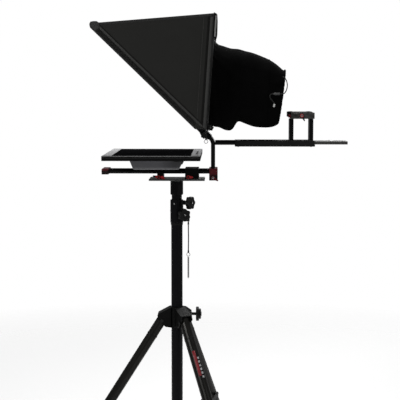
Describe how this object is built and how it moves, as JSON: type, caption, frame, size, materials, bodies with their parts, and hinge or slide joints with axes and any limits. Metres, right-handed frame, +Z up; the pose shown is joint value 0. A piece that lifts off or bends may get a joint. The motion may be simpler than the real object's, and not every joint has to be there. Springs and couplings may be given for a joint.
{
  "type": "camera teleprompter on a tripod stand",
  "caption": "Teleprompter: cloth hood with a slanted beam-splitter glass over a flat monitor, lens shroud, camera rail and riser, on a folding tripod stand.",
  "frame": {"origin": "on the floor, at the middle of the footprint from the front foot to the free end of the slide bar", "axes": "+Z up, +X towards the camera operator, -X towards the presenter"},
  "size_m": [1.1061, 0.8403, 1.752],
  "materials": {
    "black_metal": "black satin anodised",
    "grey_metal": "natural satin anodised",
    "red_metal": "red anodised",
    "steel": "brushed",
    "black_plastic": "matt moulded",
    "black_steel": "black paint",
    "rubber": "moulded",
    "grey_plastic": "fine grain",
    "silver_plastic": "satin",
    "screen": "glossy dark panel",
    "glass": "half-silvered beam splitter",
    "hood_cloth": "coated woven nylon",
    "black_cloth": "soft light-tight cloth",
    "cord": "braided"
  },
  "bodies": {
    "column": {"column_tube": "black_metal", "lock_collar": "black_metal", "spreader_collar": "black_plastic", "lanyard": "cord", "safety_pin": "steel"},
    "hub": {"leg_hub": "black_plastic", "leg_pin_1": "steel", "leg_pin_2": "steel", "leg_pin_3": "steel"},
    "hub_knob": {"hub_knob": "black_plastic"},
    "leg_1": {"leg_1": "black_metal", "foot_1": "rubber"},
    "strut_1": {"strut_1": "black_steel"},
    "leg_2": {"leg_2": "black_metal", "foot_2": "rubber"},
    "strut_2": {"strut_2": "black_steel"},
    "leg_3": {"leg_3": "black_metal", "foot_3": "rubber"},
    "strut_3": {"strut_3": "black_steel"},
    "upper_knob": {"upper_star_knob": "black_plastic"},
    "lower_knob": {"lower_star_knob": "black_plastic"},
    "mast": {"inner_mast": "black_metal"},
    "head": {"mast_adapter": "black_metal", "base_plate": "grey_metal", "front_rod_clamp": "black_metal", "rear_rod_clamp": "black_metal"},
    "front_lever": {"front_clamp_lever": "red_metal"},
    "rear_lever": {"rear_clamp_lever": "red_metal"},
    "rails": {"lower_rod_near": "black_metal", "lower_rod_far": "black_metal", "rod_end_cap": "red_metal", "corner_clamp": "red_metal"},
    "corner_lever": {"corner_clamp_lever": "black_metal"},
    "uprights": {"post_near": "black_metal", "post_far": "black_metal", "tilt_bracket": "black_metal", "upper_rod_near": "black_metal", "upper_rod_far": "black_metal", "camera_rail": "black_metal"},
    "monitor": {"monitor_bracket": "black_metal", "monitor_back": "grey_plastic", "monitor_bezel": "silver_plastic", "lcd_panel": "screen"},
    "power_button": {"power_button": "grey_plastic"},
    "menu_rocker": {"menu_rocker": "grey_plastic"},
    "hood": {"glass_frame": "black_metal", "splitter_glass": "glass", "hood_shell": "hood_cloth", "lens_shroud": "black_cloth", "drawstring": "cord", "cord_lock": "black_plastic"},
    "near_tilt_knob": {"tilt_knob_near": "black_plastic"},
    "far_tilt_knob": {"tilt_knob_far": "black_plastic"},
    "camera_sled": {"slide_bar": "grey_metal", "riser_front_leg": "black_metal", "riser_rear_leg": "black_metal", "camera_platform": "black_metal"},
    "camera_plate": {"camera_plate": "black_metal"},
    "camera_screw": {"camera_screw": "steel"},
    "release_lever": {"release_lever": "red_metal"}
  },
  "joints": [
    {"name": "leg_fold", "type": "slide", "parent": "column", "child": "hub", "axis": [0, 0, 1], "range_m": [0, 0.215]},
    {"name": "leg_1_swing", "type": "hinge", "parent": "hub", "child": "leg_1", "pos_m": [-0.12714, -0.00246, 0.631], "axis": [0.0436, -0.999, 0], "range_deg": [0, 32.35]},
    {"name": "strut_1_swing", "type": "hinge", "parent": "column", "child": "strut_1", "pos_m": [-0.09767, -0.00118, 0.14], "axis": [0.0436, -0.999, 0], "range_deg": [-56, 0]},
    {"name": "leg_2_swing", "type": "hinge", "parent": "hub", "child": "leg_2", "pos_m": [-0.04034, -0.04765, 0.631], "axis": [0.8434, 0.5373, 0], "range_deg": [0, 32.35]},
    {"name": "strut_2_swing", "type": "hinge", "parent": "column", "child": "strut_2", "pos_m": [-0.05619, -0.02277, 0.14], "axis": [0.8434, 0.5373, 0], "range_deg": [-56, 0]},
    {"name": "leg_3_swing", "type": "hinge", "parent": "hub", "child": "leg_3", "pos_m": [-0.0446, 0.05012, 0.631], "axis": [-0.887, 0.4617, 0], "range_deg": [0, 32.35]},
    {"name": "strut_3_swing", "type": "hinge", "parent": "column", "child": "strut_3", "pos_m": [-0.05823, 0.02395, 0.14], "axis": [-0.887, 0.4617, 0], "range_deg": [-56, 0]},
    {"name": "hub_knob_turn", "type": "hinge", "parent": "hub", "child": "hub_knob", "pos_m": [-0.01739, 0, 0.653], "axis": [1, 0, 0], "range_deg": [-360, 0]},
    {"name": "upper_knob_turn", "type": "hinge", "parent": "column", "child": "upper_knob", "pos_m": [-0.02046, -0.029, 1.072], "axis": [0.866, -0.5, 0], "range_deg": [-360, 0]},
    {"name": "lower_knob_turn", "type": "hinge", "parent": "column", "child": "lower_knob", "pos_m": [-0.04169, -0.05023, 1.03], "axis": [0.5, -0.866, 0], "range_deg": [-360, 0]},
    {"name": "mast_height", "type": "slide", "parent": "column", "child": "mast", "axis": [0, 0, 1], "range_m": [-0.015, 0.4]},
    {"name": "head_pan", "type": "hinge", "parent": "mast", "child": "head", "pos_m": [-0.07069, 0, 1.155], "axis": [0, 0, 1], "continuous": true},
    {"name": "front_lever_turn", "type": "hinge", "parent": "head", "child": "front_lever", "pos_m": [-0.13469, -0.0468, 1.169], "axis": [0, 1, 0], "range_deg": [0, 95]},
    {"name": "rear_lever_turn", "type": "hinge", "parent": "head", "child": "rear_lever", "pos_m": [-0.02669, -0.0468, 1.169], "axis": [0, 1, 0], "range_deg": [-95, 0]},
    {"name": "rail_slide", "type": "slide", "parent": "head", "child": "rails", "axis": [1, 0, 0], "range_m": [-0.012, 0.02]},
    {"name": "corner_lever_turn", "type": "hinge", "parent": "rails", "child": "corner_lever", "pos_m": [0.06331, -0.0468, 1.1665], "axis": [0, 1, 0], "range_deg": [-100, 0]},
    {"name": "post_height", "type": "slide", "parent": "rails", "child": "uprights", "axis": [0, 0, 1], "range_m": [0, 0.025]},
    {"name": "monitor_slide", "type": "slide", "parent": "rails", "child": "monitor", "axis": [1, 0, 0], "range_m": [-0.04, 0.015]},
    {"name": "power_press", "type": "slide", "parent": "monitor", "child": "power_button", "axis": [0, 0, -1], "range_m": [0, 0.0012], "stiffness_N_per_m": 400},
    {"name": "menu_rock", "type": "hinge", "parent": "monitor", "child": "menu_rocker", "pos_m": [0.00581, -0.06, 1.2545], "axis": [1, 0, 0], "range_deg": [-2, 2], "stiffness_Nm_per_rad": 0.2},
    {"name": "hood_tilt", "type": "hinge", "parent": "uprights", "child": "hood", "pos_m": [0.03331, 0, 1.33], "axis": [0, 1, 0], "range_deg": [-10, 8]},
    {"name": "near_tilt_knob_turn", "type": "hinge", "parent": "uprights", "child": "near_tilt_knob", "pos_m": [0.03331, -0.2338, 1.33], "axis": [0, -1, 0], "range_deg": [-360, 0]},
    {"name": "far_tilt_knob_turn", "type": "hinge", "parent": "uprights", "child": "far_tilt_knob", "pos_m": [0.03331, 0.2338, 1.33], "axis": [0, 1, 0], "range_deg": [-360, 0]},
    {"name": "camera_slide", "type": "slide", "parent": "uprights", "child": "camera_sled", "axis": [1, 0, 0], "range_m": [-0.01, 0.09]},
    {"name": "plate_slide", "type": "slide", "parent": "camera_sled", "child": "camera_plate", "axis": [1, 0, 0], "range_m": [-0.01, 0.03]},
    {"name": "camera_screw_turn", "type": "hinge", "parent": "camera_plate", "child": "camera_screw", "pos_m": [0.38131, 0, 1.3888], "axis": [0, 0, 1], "continuous": true},
    {"name": "release_lever_turn", "type": "hinge", "parent": "camera_sled", "child": "release_lever", "pos_m": [0.38531, -0.0413, 1.393], "axis": [0, 1, 0], "range_deg": [-90, 0]}
  ],
  "couplings": [
    {"joint": "leg_1_swing", "follows": "leg_fold", "rad_per_m": 2.6221},
    {"joint": "strut_1_swing", "follows": "leg_fold", "rad_per_m": -4.542},
    {"joint": "leg_2_swing", "follows": "leg_fold", "rad_per_m": 2.6221},
    {"joint": "strut_2_swing", "follows": "leg_fold", "rad_per_m": -4.542},
    {"joint": "leg_3_swing", "follows": "leg_fold", "rad_per_m": 2.6221},
    {"joint": "strut_3_swing", "follows": "leg_fold", "rad_per_m": -4.542}
  ]
}
